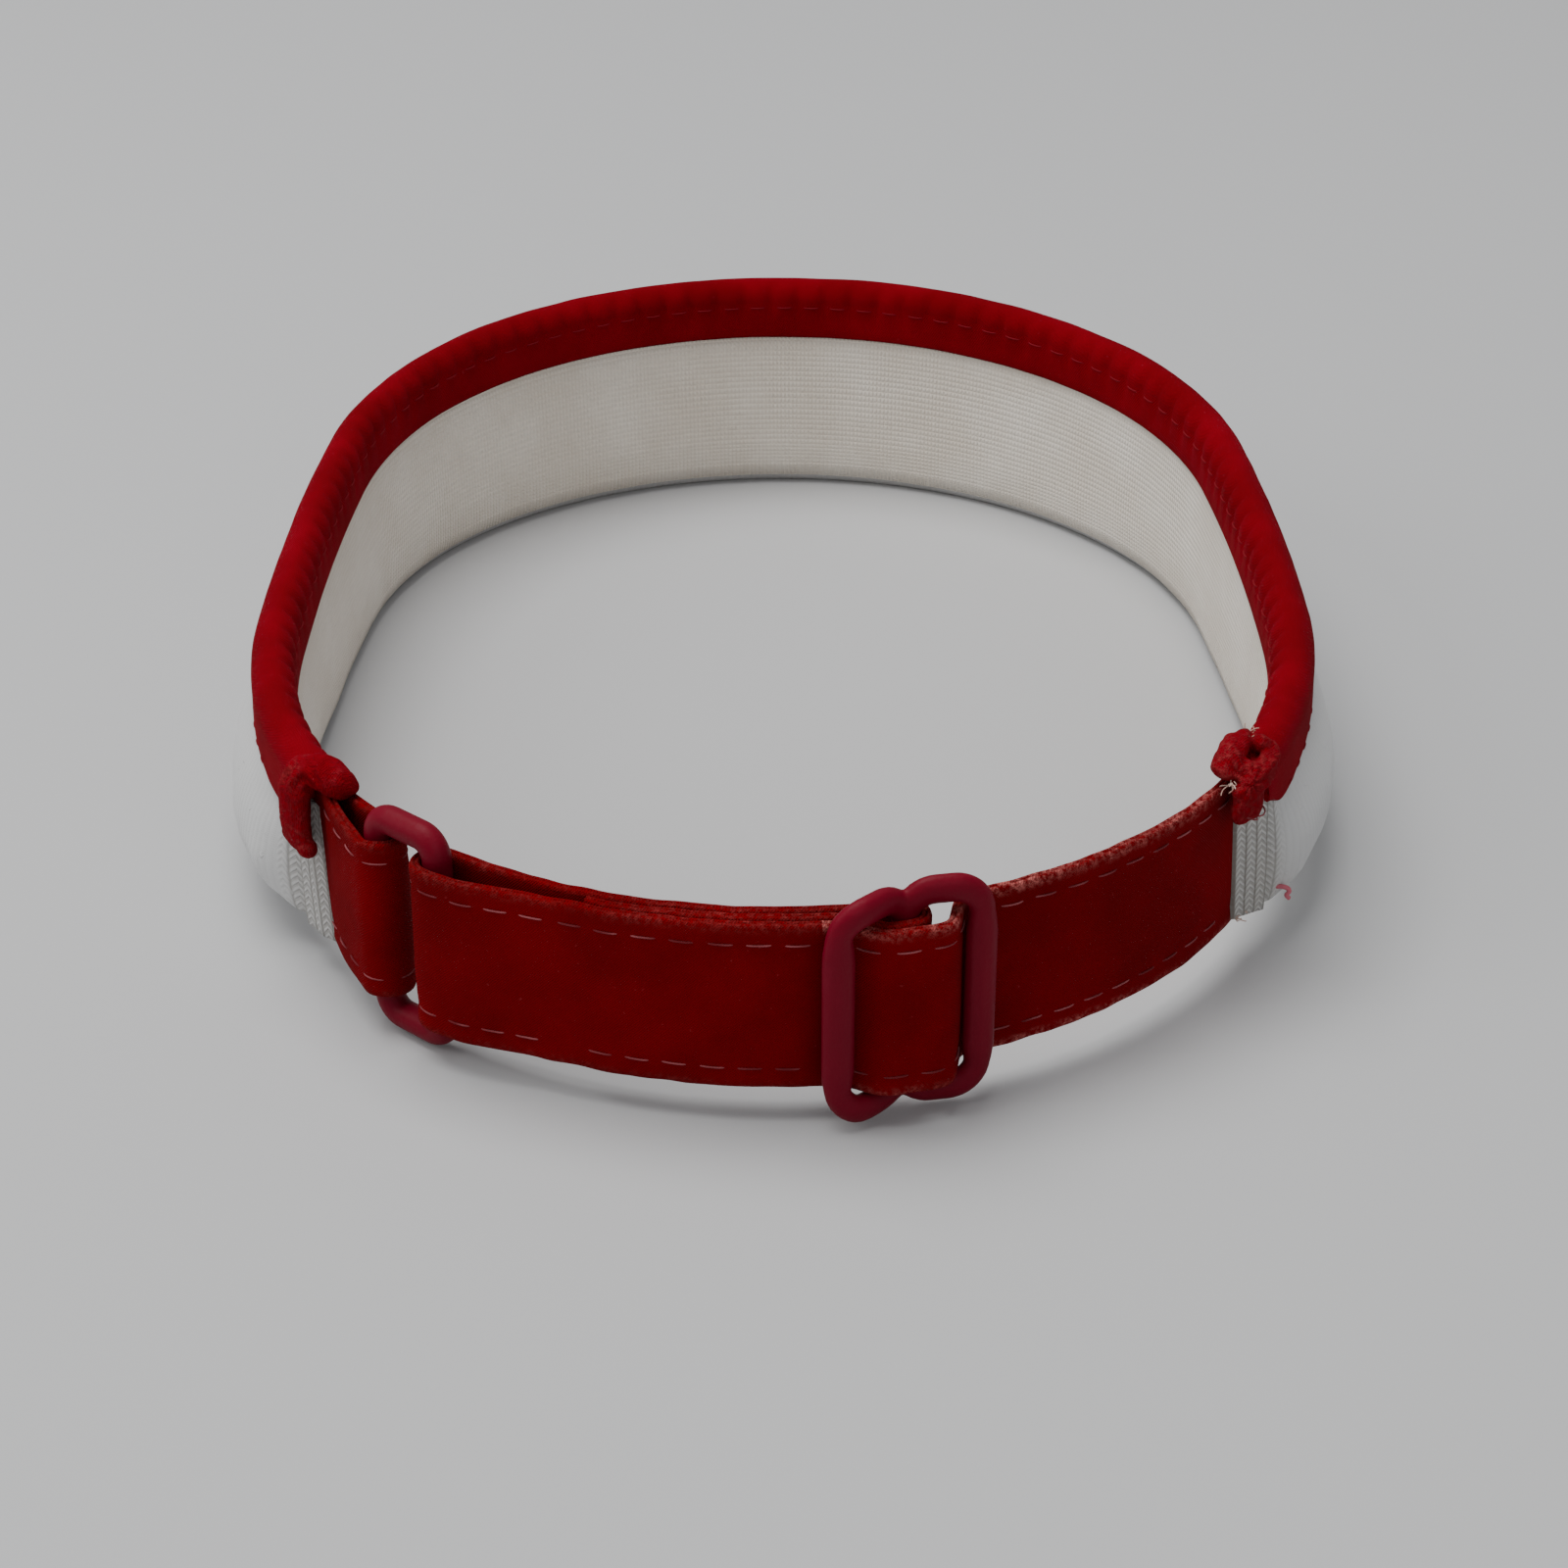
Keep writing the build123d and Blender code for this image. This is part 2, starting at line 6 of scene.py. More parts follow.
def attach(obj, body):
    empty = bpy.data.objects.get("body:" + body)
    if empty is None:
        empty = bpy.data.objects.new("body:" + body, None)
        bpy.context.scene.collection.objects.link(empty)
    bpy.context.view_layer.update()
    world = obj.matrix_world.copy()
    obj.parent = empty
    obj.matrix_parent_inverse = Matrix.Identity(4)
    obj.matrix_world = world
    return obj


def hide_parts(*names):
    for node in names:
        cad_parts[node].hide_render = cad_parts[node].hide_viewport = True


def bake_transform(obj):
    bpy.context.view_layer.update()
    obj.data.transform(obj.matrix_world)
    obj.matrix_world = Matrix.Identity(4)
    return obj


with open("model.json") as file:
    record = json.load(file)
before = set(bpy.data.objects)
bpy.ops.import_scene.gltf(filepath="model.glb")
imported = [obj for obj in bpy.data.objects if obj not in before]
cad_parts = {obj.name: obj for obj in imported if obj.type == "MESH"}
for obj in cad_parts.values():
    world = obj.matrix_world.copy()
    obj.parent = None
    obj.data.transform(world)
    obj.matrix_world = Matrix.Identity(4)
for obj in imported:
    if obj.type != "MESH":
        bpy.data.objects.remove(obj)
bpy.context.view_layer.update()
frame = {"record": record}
MM = 0.001

# ---------------------------------------------------------------- table, daylight and viewpoint
# The headband stands by its padded edge on a pale matt table, under the soft, even light of a
# window and a white ceiling, seen from behind and a little above.
camera = bpy.data.objects.new("camera", bpy.data.cameras.new("camera"))
bpy.context.scene.collection.objects.link(camera)
camera.data.lens = 74.25
camera.data.sensor_width = 36
camera.location = (0.0005, -0.4509, 0.2516)
camera.rotation_euler = (radians(60), 0, 0)
bpy.context.scene.camera = camera

daylight = bpy.data.worlds.new("daylight")
daylight.use_nodes = True
daylight.node_tree.nodes["Background"].inputs["Color"].default_value = (0.93, 0.95, 1.0, 1)
daylight.node_tree.nodes["Background"].inputs["Strength"].default_value = 0.30
bpy.context.scene.world = daylight


def lamp(name, place, size, power, aim=(0, 0, 0)):
    """A soft panel of light that faces the headband."""
    panel = bpy.data.objects.new(name, bpy.data.lights.new(name, "AREA"))
    bpy.context.scene.collection.objects.link(panel)
    panel.data.size = size
    panel.data.energy = power
    panel.location = place
    panel.rotation_euler = (Vector(aim) - Vector(place)).to_track_quat("-Z", "Y").to_euler()


lamp("ceiling", (-0.30, 0.15, 1.3), 1.0, 20)
lamp("window", (-1.1, -0.3, 0.8), 0.7, 5)
lamp("room", (0.5, -1.1, 0.8), 0.9, 3)


class Dye:
    """A value or colour on its way through a material; sums on values add Math nodes."""

    def __init__(self, tree, socket=None):
        self.tree = tree
        self.socket = socket

    def node(self, kind, settings=None, inputs=None, output=0):
        made = self.tree.nodes.new(kind)
        for name, value in (settings or {}).items():
            setattr(made, name, value)
        for name, value in (inputs or {}).items():
            if isinstance(value, Dye):
                self.tree.links.new(value.socket, made.inputs[name])
            else:
                made.inputs[name].default_value = value
        return Dye(self.tree, made.outputs[output])

    def math(self, operation, *values):
        return self.node("ShaderNodeMath", {"operation": operation}, dict(enumerate(values)))

    def __add__(self, other): return self.math("ADD", self, other)
    def __radd__(self, other): return self.math("ADD", other, self)
    def __sub__(self, other): return self.math("SUBTRACT", self, other)
    def __rsub__(self, other): return self.math("SUBTRACT", other, self)
    def __mul__(self, other): return self.math("MULTIPLY", self, other)
    def __truediv__(self, other): return self.math("DIVIDE", self, other)
    def __abs__(self): return self.math("ABSOLUTE", self)

    def sine(self): return self.math("SINE", self)
    def at_most(self, high): return self.math("MINIMUM", self, high)

    def between(self, low, high):
        """0 at low, 1 at high, and smooth on the way."""
        return self.node(
            "ShaderNodeMapRange",
            {"interpolation_type": "SMOOTHSTEP"},
            {"Value": self, "From Min": low, "From Max": high, "To Min": 0.0, "To Max": 1.0},
        )

    def blend(self, one, other):
        """The first colour where this value is 0, the second where it is 1."""
        return self.node(
            "ShaderNodeMix", {"data_type": "RGBA"}, {0: self, 6: one, 7: other}, output=2
        )

    def speckle(self, place, scale, detail=3.0, rough=0.6):
        return self.node(
            "ShaderNodeTexNoise",
            {},
            {"Vector": place, "Scale": scale, "Detail": detail, "Roughness": rough},
        )


def finish_of(name, surface_slots):
    """A new material: its Principled shader with the sockets that stay the same all over."""
    material = bpy.data.materials.new(name)
    material.use_nodes = True
    shader = material.node_tree.nodes["Principled BSDF"]
    for socket, value in surface_slots.items():
        shader.inputs[socket].default_value = value
    return material, shader, Dye(material.node_tree)


def surface(dye, shader, colour, rough, height, depth):
    """Feeds what varies over the surface into the shader."""
    bump = dye.node("ShaderNodeBump", {}, {"Strength": 1.0, "Distance": depth, "Height": height})
    for name, value in (("Base Color", colour), ("Roughness", rough), ("Normal", bump)):
        dye.tree.links.new(value.socket, shader.inputs[name])


table, table_shader, dye = finish_of("table_paper", {"Specular IOR Level": 0.2})
spot = dye.node("ShaderNodeTexCoord", output=3)
grain = dye.speckle(spot, 60.0)
surface(
    dye,
    table_shader,
    dye.speckle(spot, 1.3, 1.0).blend((0.46, 0.46, 0.462, 1), (0.52, 0.52, 0.518, 1)),
    0.75 + grain * 0.1,
    grain,
    0.0001,
)
bm = bmesh.new()
bmesh.ops.create_grid(bm, x_segments=8, y_segments=8, size=3.0)
floor = bpy.data.objects.new("floor", bpy.data.meshes.new("floor"))
bm.to_mesh(floor.data)
bm.free()
bpy.context.scene.collection.objects.link(floor)
floor.location.z = -0.0002
floor.data.materials.append(table)

# ---------------------------------------------------------------- knitted cover over the padding
# The front and sides are a soft tube of white rib knit, filled with foam. It swells below the
# binding and is pinched flat where the strap is sewn in at both rear seams.
joints = frame["record"]["behaviour"]["joints"]
nape = Vector(next(j for j in joints if j["name"] == "slider_travel")["pos_m"])
head_radius, temple_radius, side_radius = 70.15 * MM, 90 * MM, 440 * MM
right_seam, left_seam = 58.0, -57.0
nape_end, brow_start = -22.0, 7.0  # direction of the plan's normal there, in degrees from +X
# The arcs run on from each other, and the brow's arc is centred between the sides
temple_x = (head_radius - temple_radius) * cos(radians(nape_end))
temple_y = (head_radius - temple_radius) * sin(radians(nape_end))
side_x = temple_x + temple_radius - side_radius
brow_radius = side_radius + side_x / cos(radians(brow_start))
brow_middle = temple_y + (side_radius - brow_radius) * sin(radians(brow_start))
# Each stretch of the plan: where its normal starts and ends, its radius at the head and its centre
stretches = [
    (right_seam - 90, nape_end, head_radius, (0.0, 0.0)),
    (nape_end, 0.0, temple_radius, (temple_x, temple_y)),
    (0.0, brow_start, side_radius, (side_x, temple_y)),
    (brow_start, 180 - brow_start, brow_radius, (0.0, brow_middle)),
    (180 - brow_start, 180.0, side_radius, (-side_x, temple_y)),
    (180.0, 180 - nape_end, temple_radius, (-temple_x, temple_y)),
    (180 - nape_end, 270.0 + left_seam, head_radius, (0.0, 0.0)),
]
band_length = sum(radians(b - a) * r for a, b, r, c in stretches)
seam_y = nape.y - head_radius * cos(radians((right_seam - left_seam) / 2))
brow_y = nape.y + brow_middle + brow_radius
roll_middle = 29.6 * MM
roll_out = 4.25 * MM
front_rise = 6 * MM  # the upper edge climbs this much from the seams to the brow
roll_climb = front_rise / (brow_y - seam_y)
strap_low, strap_wide = 5.0 * MM, 25.4 * MM


def plan(s, d):
    """Point at s along the head line from the right seam and d away from the head."""
    for a, b, r, c in stretches:
        run = radians(b - a) * r
        if s <= run or b == 270.0 + left_seam:
            turn = radians(a) + s / r
            x, y = nape.x + c[0] + (r + d) * cos(turn), nape.y + c[1] + (r + d) * sin(turn)
            # the left side lies a little closer to the head
            return x + 1.3 * MM * ease(-x, 0.055, 0.078) * ease(y, -0.06, -0.01), y
        s -= run


def roll_height(y):
    return roll_middle + (y - seam_y) * roll_climb


def ease(x, low, high):
    t = max(0.0, min(1.0, (x - low) / (high - low)))
    return t * t * (3 - 2 * t)


def cloth(name, around, across, place, measure):
    """A grid of cloth laid by place(u, v), its threads measured by measure(u, v) in metres."""
    bm = bmesh.new()
    bmesh.ops.create_grid(bm, x_segments=around, y_segments=across, size=0.5)
    threads = bm.loops.layers.uv.new("threads")
    for face in bm.faces:
        for loop in face.loops:
            loop[threads].uv = measure(loop.vert.co.x + 0.5, loop.vert.co.y + 0.5)
    for vert in bm.verts:
        vert.co = place(vert.co.x + 0.5, vert.co.y + 0.5)
    bmesh.ops.remove_doubles(bm, verts=bm.verts, dist=1e-6)
    open_edges = [e for e in bm.edges if e.is_boundary]
    if open_edges:
        bmesh.ops.holes_fill(bm, edges=open_edges, sides=0)
        for edge in open_edges:
            edge.smooth = False
    bmesh.ops.recalc_face_normals(bm, faces=bm.faces)
    return piece_from(name, bm)


def piece_from(name, bm):
    """The finished mesh as a smooth piece at the origin."""
    piece = bpy.data.objects.new(name, bpy.data.meshes.new(name))
    bm.to_mesh(piece.data)
    bm.free()
    piece.data.shade_smooth()
    bpy.context.scene.collection.objects.link(piece)
    return piece


def ripple(x, y, z, size):
    """Smooth unevenness between -1 and 1."""
    return noise.noise(Vector((x, y, z)) / size)


def foot_height(s):
    """Lower edge of the band: it climbs to the strap at both seams."""
    near = min(s, band_length - s)
    climb = 5.6 * (1 - min(1.0, max(0.0, near - 6 * MM) / (70 * MM)))
    return (climb + 1.5 * ease(near, 6 * MM, 16 * MM) * (1 - ease(near, 28 * MM, 75 * MM))) * MM


def puff(s):
    """How full the padding is: flat at the seams, then full within a thumb's width."""
    near = min(s, band_length - s)
    return 0.06 * ease(near, 0, 5 * MM) + 0.94 * ease(near, 5.8 * MM, 14 * MM)


cover_profile = [  # out from the head and up, as shares of the swell and of the height
    (2.3, 0.0, 1.00), (2.3, 0.0, 0.75), (2.3, 0.0, 0.50), (2.3, 0.0, 0.25), (2.4, 0.0, 0.06),
    (3.6, 0.0, 0.0), (5.2, 0.25, 0.0), (6.4, 0.45, 0.02), (6.4, 0.68, 0.07), (6.4, 0.85, 0.14),
    (6.4, 0.96, 0.22), (6.4, 1.0, 0.31), (6.4, 0.96, 0.40), (6.4, 0.85, 0.49),
    (6.4, 0.68, 0.57), (6.4, 0.48, 0.65), (6.4, 0.28, 0.72), (6.4, 0.12, 0.79),
    (6.4, 0.02, 0.86), (6.3, 0.0, 0.93), (6.2, 0.0, 1.0), (4.4, 0.0, 1.0),
]


def along_band(u):
    """Length along the band for a share of its columns, which crowd together at the seams."""
    return band_length * (u - 0.125 * sin(2 * pi * u))


def cover_place(u, v):
    s = along_band(u)
    step = round(v * len(cover_profile)) % len(cover_profile)
    flat, swell, share = cover_profile[step]
    near = min(s, band_length - s)
    on_right = s < 0.5 * band_length
    slant = (1 - share) * 2.2 * MM * (1 - ease(near, 0, 12 * MM))  # both ends are cut on a slant
    s += slant
    x, y = plan(s, 0)
    top = roll_height(y) - 2.9 * MM
    low = foot_height(s)
    full = puff(s - slant)
    d = flat * MM + swell * (4.7 + 0.6 * ease(near, 40 * MM, 90 * MM)) * MM * full
    if flat > 4 and on_right:
        d -= 2.55 * MM * (1 - ease(near, -1.5 * MM, 5.5 * MM))
    elif flat > 4:
        d -= 0.7 * MM * (1 - ease(near, 0, 2 * MM))
    z = low + share * (top - low)
    if 5 < step < 19:
        crease = ease(near, 5.2 * MM, 6.2 * MM) * (1 - ease(near, 6.6 * MM, 8.4 * MM))
        lip = ease(near, 3.6 * MM, 5.0 * MM) * (1 - ease(near, 5.0 * MM, 5.9 * MM))
        folds = ripple(s * 0.55, 0, z * 0.25, 6 * MM) * 0.5 + ripple(s, 3, z, 11 * MM) * 0.5
        d += folds * MM * (0.25 + 0.8 * (1 - ease(near, 10 * MM, 45 * MM))) * full
        d += (lip * 0.35 - crease * 0.75) * MM
        if not on_right:  # a slack crease runs along the left swell
            sag = ripple(s, 11, z, 4 * MM) * 0.5 + 0.5
            hollow = ease(z, 13 * MM, 15 * MM) * (1 - ease(z, 15.5 * MM, 18 * MM))
            d -= 0.9 * MM * sag * ease(near, 9 * MM, 16 * MM) * hollow
    x, y = plan(s, d)
    return Vector((x, y, z))


def cover_measure(u, v):
    return along_band(u), v * 0.088


cover = cloth("cover", 420, len(cover_profile), cover_place, cover_measure)

knit, knit_shader, dye = finish_of(
    "white_rib_knit", {"Specular IOR Level": 0.25, "Sheen Weight": 0.25, "Sheen Roughness": 0.5}
)
threads = dye.node("ShaderNodeUVMap", {"uv_map": "threads"})
spot = dye.node("ShaderNodeTexCoord", output=3)
wobble = dye.speckle(spot, 400.0, 2.0) - 0.5
u = dye.node("ShaderNodeSeparateXYZ", {}, {"Vector": threads}, 0)
v = dye.node("ShaderNodeSeparateXYZ", {}, {"Vector": threads}, 1)
near = u.at_most(band_length - u)
bold = 1 - near.between(0.0062, 0.0105)
# each wale is a plait of slanting stitches between two grooves
wale = (u + wobble * 0.00022).math("PINGPONG", u + wobble * 0.00022, 0.00080) / 0.00080
ridge = wale.between(-0.10, 0.40)
z = dye.node("ShaderNodeSeparateXYZ", {}, {"Vector": spot}, 2)
plait = ((z / 0.00110 - wale * 0.95 + wobble * 0.25) * (2 * pi)).sine() * 0.5 + 0.5
fine = abs(((u + wobble * 0.00012) * (pi / 0.00105)).sine())
plain = fine * 0.75 + abs((v * (pi / 0.00075) + fine * 1.4).sine()) * 0.25
plaited = ridge * (0.44 + plait.between(0.15, 0.75) * 0.56)
stitch = bold * plaited + (1 - bold) * (0.80 + plain * 0.14)
stain = dye.speckle(spot, 45.0, 3.0).between(0.35, 0.75)
lint = dye.speckle(spot, 700.0, 3.0).between(0.62, 0.75) * 0.35
# painted shade: the knit's grooves are coloured dark grey-brown and its ridges pale white,
# following the stitch relief
groove_shaded_knit = stitch.between(0.0, 0.95).blend((0.15, 0.14, 0.125, 1), (0.56, 0.56, 0.555, 1))
aged = ((stain * 0.5 + bold * 0.8) * 0.3).blend(groove_shaded_knit, (0.50, 0.46, 0.40, 1))
surface(
    dye,
    knit_shader,
    lint.blend(aged, (0.80, 0.79, 0.79, 1)),
    0.82 + stitch * 0.1,
    stitch + lint,
    0.00042,
)


def press_out(piece, held, most):
    """Lets the padding press a cloth piece out, by this much at most, where it isn't held."""
    scale = 20
    rest = [v.co.copy() for v in piece.data.vertices]
    pins = piece.vertex_groups.new(name="held")
    facing = [v.normal.copy() for v in piece.data.vertices]
    for i, (point, normal) in enumerate(zip(rest, facing)):
        pins.add([i], held(point, normal), "REPLACE")
    piece.data.transform(Matrix.Scale(scale, 4))
    press = piece.modifiers.new("press", "CLOTH")
    press.settings.quality = 6
    press.settings.mass = 0.15
    press.settings.tension_stiffness = 12
    press.settings.compression_stiffness = 8
    press.settings.shear_stiffness = 4
    press.settings.bending_stiffness = 0.3
    press.settings.use_pressure = True
    press.settings.uniform_pressure_force = 4
    press.settings.vertex_group_mass = "held"
    press.settings.effector_weights.gravity = 0
    press.point_cache.frame_start = 1
    press.point_cache.frame_end = 20
    for frame_number in range(1, 21):
        bpy.context.scene.frame_set(frame_number)
    pressed = piece.evaluated_get(bpy.context.evaluated_depsgraph_get()).to_mesh()
    moves = [v.co / scale - co for v, co in zip(pressed.vertices, rest)]
    piece.to_mesh_clear()
    piece.modifiers.remove(press)
    piece.vertex_groups.remove(pins)
    furthest = max(move.length for move in moves)
    share = min(1.0, most / furthest) if furthest > 0 else 0.0
    for vert, co, move in zip(piece.data.vertices, rest, moves):
        vert.co = co + move * share
    piece.data.update()
    bpy.context.scene.frame_set(1)


def held_cover(point, normal):
    """1 where the cover is sewn, rests or faces the head, less where it may swell."""
    head_middle = Vector((0, 0.5 * (seam_y + brow_y), point.z))
    if normal.dot(point - head_middle) < 0:
        return 1.0
    high = ease(point.z, 24 * MM, 28 * MM)
    low = 1 - ease(point.z, 0.5 * MM, 5 * MM)
    rear = 1 - ease(point.y, seam_y - 4 * MM, seam_y + 14 * MM)
    return max(high, low, rear, 0.0)


press_out(cover, held_cover, 1.6 * MM)
cover.data.materials.append(knit)
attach(cover, "headband")
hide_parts("outer_cover", "foam_padding")

# ---------------------------------------------------------------- lining against the forehead
# A strip of cream jersey faces the head. Its upper edge is caught under the binding and its
# lower edge is turned in at the foot of the cover.
lining_profile = [  # out from the head, and up as a share of the height
    (2.1, 0.99), (1.7, 0.8), (1.45, 0.62), (1.35, 0.42), (1.4, 0.24), (1.6, 0.1), (2.1, 0.035),
]


def lining_place(u, v):
    s = 3 * MM + u * (band_length - 6 * MM)
    steps = len(lining_profile)
    step = round(v * 2 * steps) % (2 * steps)
    back = step >= steps
    flat, share = lining_profile[2 * steps - 1 - step if back else step]
    x, y = plan(s, 0)
    low = foot_height(s) + 0.4 * MM
    z = low + share * (roll_height(y) - 2.9 * MM - low)
    d = flat * MM + ripple(s, 7, z, 9 * MM) * 0.16 * MM + (0.55 * MM if back else 0)
    x, y = plan(s, d)
    return Vector((x, y, z))


lining = cloth(
    "lining", 260, 2 * len(lining_profile), lining_place,
    lambda u, v: (u * band_length, v * 0.05),
)
jersey, jersey_shader, dye = finish_of(
    "cream_jersey", {"Specular IOR Level": 0.2, "Sheen Weight": 0.3, "Sheen Roughness": 0.5}
)
threads = dye.node("ShaderNodeUVMap", {"uv_map": "threads"})
spot = dye.node("ShaderNodeTexCoord", output=3)
u = dye.node("ShaderNodeSeparateXYZ", {}, {"Vector": threads}, 0)
v = dye.node("ShaderNodeSeparateXYZ", {}, {"Vector": threads}, 1)
loops = abs((u * (pi / 0.0007)).sine()) * abs((v * (pi / 0.0006)).sine())
worn = dye.speckle(spot, 60.0, 4.0).between(0.3, 0.8)
tone = worn.blend((0.74, 0.66, 0.55, 1), (0.86, 0.80, 0.70, 1))
surface(
    dye,
    jersey_shader,
    (loops * 0.35).blend(tone, (0.92, 0.88, 0.80, 1)),
    0.85 + loops * 0.1,
    loops,
    0.0002,
)
lining.data.materials.append(jersey)
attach(lining, "headband")
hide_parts("inner_lining")

# ---------------------------------------------------------------- rolled red binding
# A bias strip of red cotton is folded over the upper edge and a cord, and stitched through. The
# stitches pucker its inner edge.
turn_pitch = 4.7 * MM
roll_profile = [(2.55, -6.9), (3.0, -7.1), (3.25, -6.6), (3.3, -5.2), (3.25, -3.4), (3.2, -1.6)]
roll_profile += [(3.2 * cos(radians(a)), 3.3 * sin(radians(a))) for a in range(-4, 185, 11)]
roll_profile += [(-3.2, -1.6), (-3.2, -3.2), (-3.2, -4.8), (-3.15, -6.2), (-2.95, -6.6)]
roll_profile += [(-2.65, -6.3)]
roll_profile += [(-2.5, -4.4), (-2.45, -2.4), (-1.8, -1.9), (1.8, -1.9), (2.35, -2.4), (2.45, -4.8)]


def roll_place(u, v):
    s = 3.0 * MM + u * (band_length - 4.2 * MM)
    step = round(v * len(roll_profile)) % len(roll_profile)
    out, up = roll_profile[step]
    if up < -2 and s < 0.5 * band_length:
        up = -2 + (up + 2) * (0.35 + 0.65 * ease(s, 2 * MM, 10 * MM))
    elif up < -2:
        up = -2 + (up + 2) * (0.70 + 0.30 * ease(band_length - s, 1 * MM, 5 * MM))
    inner = ease(-out, 0.5, 3.4) * ease(up, -5.5, 0.5)
    pull = (0.5 + 0.5 * cos(2 * pi * s / turn_pitch)) ** 3
    soft = ripple(s, out * 2 * MM, up * MM, 5 * MM) * 0.30 + ripple(s, 5, 0, 16 * MM) * 0.35
    squeeze = 1 + 0.05 * soft - 0.22 * pull * inner
    near = min(s, band_length - s)
    squeeze *= 0.86 + 0.14 * ease(near, 0, 5 * MM) if up > -2 else 1
    x, y = plan(s, roll_out + out * squeeze * MM)
    z = roll_height(y) + up * MM * (squeeze if up > 0 else 1) + soft * 0.25 * MM
    return Vector((x, y, z))


def red_cotton(name, wide, worn_edges, dark, light, by_threads=True):
    """Plain-woven red cotton: fine weave, faded and fluffy along its folded edges."""
    material, shader, dye = finish_of(
        name, {"Specular IOR Level": 0.03, "Sheen Weight": 0.02, "Sheen Roughness": 0.4,
               "Sheen Tint": (1.0, 0.2, 0.2, 1)}
    )
    spot = dye.node("ShaderNodeTexCoord", output=3)
    threads = dye.node("ShaderNodeUVMap", {"uv_map": "threads"}) if by_threads else spot
    u = dye.node("ShaderNodeSeparateXYZ", {}, {"Vector": threads}, 0)
    v = dye.node("ShaderNodeSeparateXYZ", {}, {"Vector": threads}, 1)
    slub = dye.speckle(spot, 900.0, 2.0) - 0.5
    warp = (u * (2 * pi / 0.00042) + slub * 3.0).sine()
    weft = (v * (2 * pi / 0.00042) + slub * 3.0).sine()
    weave = (warp * weft) * 0.5 + 0.5
    shade = dye.speckle(spot, 70.0, 4.0).between(0.3, 0.72)
    body = shade.blend(dark, light)
    body = (weave * 0.35).blend(body, tuple(1.5 * c for c in light[:3]) + (1,))
    # distance from the nearer folded edge, as carried by the threads' second measure
    edge = 1 - (0.5 * wide - abs(v - 0.5 * wide)).between(0.0002, 0.0019)
    fluff = dye.speckle(spot, 1100.0, 4.0, 0.75).between(0.40, 0.66)
    patch = dye.speckle(spot, 60.0, 3.0).between(0.36, 0.62)
    faded = (edge * fluff * (0.30 + patch * 0.70) * worn_edges).at_most(1.0) if by_threads else (
        fluff * patch * worn_edges)
    lint = dye.speckle(spot, 1500.0, 2.0, 0.5).between(0.70, 0.80) * 0.35
    colour = faded.blend(body, (0.52, 0.135, 0.120, 1))
    colour = lint.blend(colour, (0.36, 0.050, 0.055, 1))
    surface(dye, shader, colour, 0.80 + weave * 0.12, weave + fluff * edge * 1.5, 0.00012)
    return material


roll = cloth(
    "binding", 560, len(roll_profile), roll_place,
    lambda u, v: (u * band_length, v * 0.036),
)
bias_dark, bias_light = (0.150, 0.0010, 0.0050, 1), (0.225, 0.0018, 0.0090, 1)
roll.data.materials.append(red_cotton("red_bias_cotton", 0.036, 0.0, bias_dark, bias_light))
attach(roll, "headband")
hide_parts("top_binding", "binding_cord")

# ---------------------------------------------------------------- ring tab and strap
# The tab and the strap are red cotton folded to a flat band of two plies, topstitched near both
# edges. The tab loops round the ring; the strap runs through the slider, round the ring and back.
half = 12.65
row = 3.1  # from each folded edge to its row of topstitching
strap_face = [
    (-half + row, 0.64), (-7.6, 0.76), (-3.8, 0.79), (0.0, 0.80), (3.8, 0.79), (7.6, 0.76),
    (half - row, 0.64),
]
strap_edge = [
    (half - 1.7, 0.77), (half - 0.7, 0.80), (half - 0.2, 0.64), (half, 0.36),
    (half - 0.12, 0.12), (half - 0.34, 0.0), (half - 0.12, -0.12), (half, -0.36),
    (half - 0.2, -0.64), (half - 0.7, -0.80), (half - 1.7, -0.77),
]
strap_profile = strap_face + strap_edge + [(-up, -out) for up, out in strap_face + strap_edge]
strap_middle = strap_low + strap_wide / 2


def on_nape(angle, radius):
    """Plan point at this angle from -Y and this many millimetres from the nape's centre."""
    a = radians(angle)
    return Vector((nape.x + radius * MM * sin(a), nape.y - radius * MM * cos(a)))


def nape_run(start, end, low, high=None):
    """Plan points along the nape, easing from one radius to the other."""
    high = low if high is None else high
    count = max(2, round(abs(end - start) * 1.8))
    steps = [i / count for i in range(count + 1)]
    return [on_nape(start + (end - start) * t, low + (high - low) * ease(t, 0, 1)) for t in steps]


def turn_round(middle, radius, start, sweep):
    """Plan points of a fold round a bar."""
    steps = [radians(start + sweep * i / 14) for i in range(15)]
    return [middle + Vector((cos(a), sin(a))) * radius * MM for a in steps]


def beside(angle, u, n):
    """Plan point u along and n out, in millimetres, from the nape's centre, at this angle."""
    a = radians(angle)
    along, out = Vector((cos(a), sin(a))), Vector((sin(a), -cos(a)))
    return Vector((nape.x, nape.y)) + MM * (u * along + n * out)


def eased(points, gap=0.6 * MM, passes=6):
    """The same way walked in even steps, with its corners rounded."""
    way = [points[0]]
    for a, b in zip(points, points[1:]):
        count = max(1, round((b - a).length / gap))
        way += [a.lerp(b, (i + 1) / count) for i in range(count)]
    for _ in range(passes):
        softened = [(p + 2 * q + r) / 4 for p, q, r in zip(way, way[1:], way[2:])]
        way = [way[0]] + softened + [way[-1]]
    return way


def on_strap(spot, side, up, out):
    """Point on the band at a plan point, in millimetres up from its middle and out from it."""
    wave = ripple(spot.x, spot.y, up * MM, 7 * MM) * 0.10
    fray = ripple(spot.x, spot.y, 9, 4 * MM) * 0.20 * abs(up) / half
    flat = spot + side * (out + wave) * MM
    return Vector((flat.x, flat.y, strap_middle + (up + fray) * MM))


